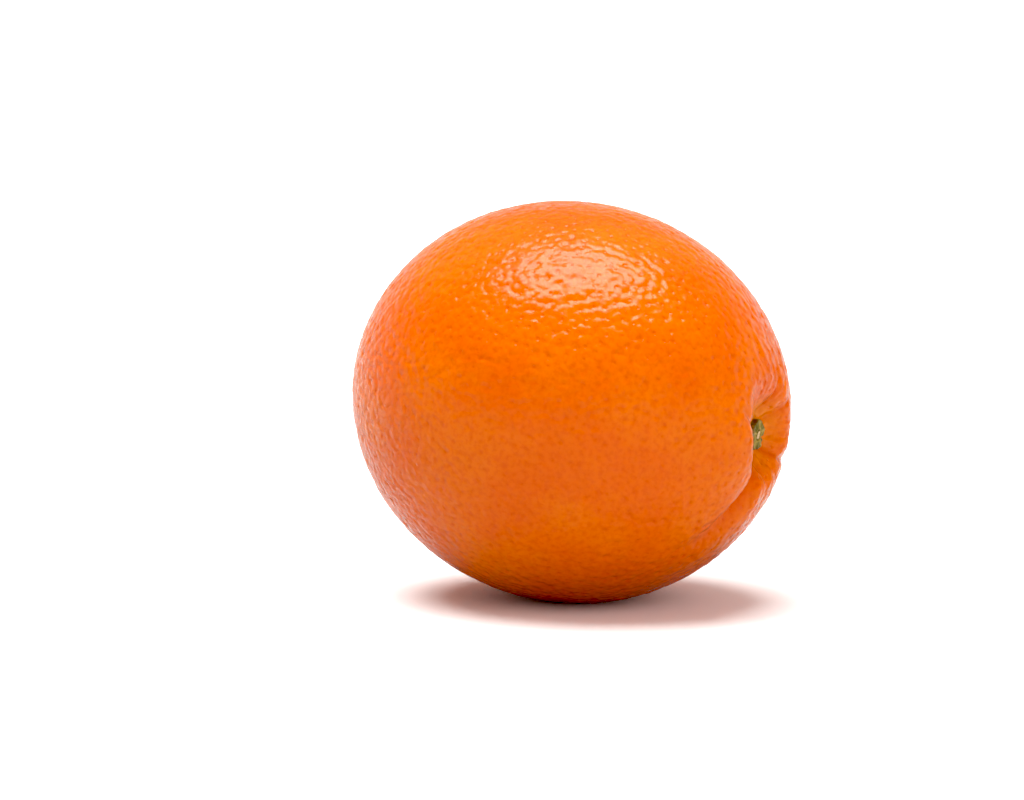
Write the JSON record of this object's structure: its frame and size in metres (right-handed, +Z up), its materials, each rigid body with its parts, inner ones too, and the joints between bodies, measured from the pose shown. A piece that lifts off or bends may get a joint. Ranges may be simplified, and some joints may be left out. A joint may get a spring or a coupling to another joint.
{
  "type": "orange",
  "caption": "Whole sweet orange with its green calyx and a short woody stem end, lying on its side on a small flat spot.",
  "frame": {"origin": "on the surface the orange lies on, under the centre of its box", "axes": "+X towards the stem end along the orange's length, +Y across it, +Z up"},
  "size_m": [0.0836, 0.0759, 0.0757],
  "materials": {
    "peel": "waxy orange citrus peel, pitted, with a broad soft gloss",
    "calyx": "matt olive green, dry and fibrous",
    "stem": "pale broken wood fibre, matt"
  },
  "bodies": {
    "root": {"orange_fruit": "peel", "calyx": "calyx", "stem_stub": "stem"}
  },
  "joints": []
}
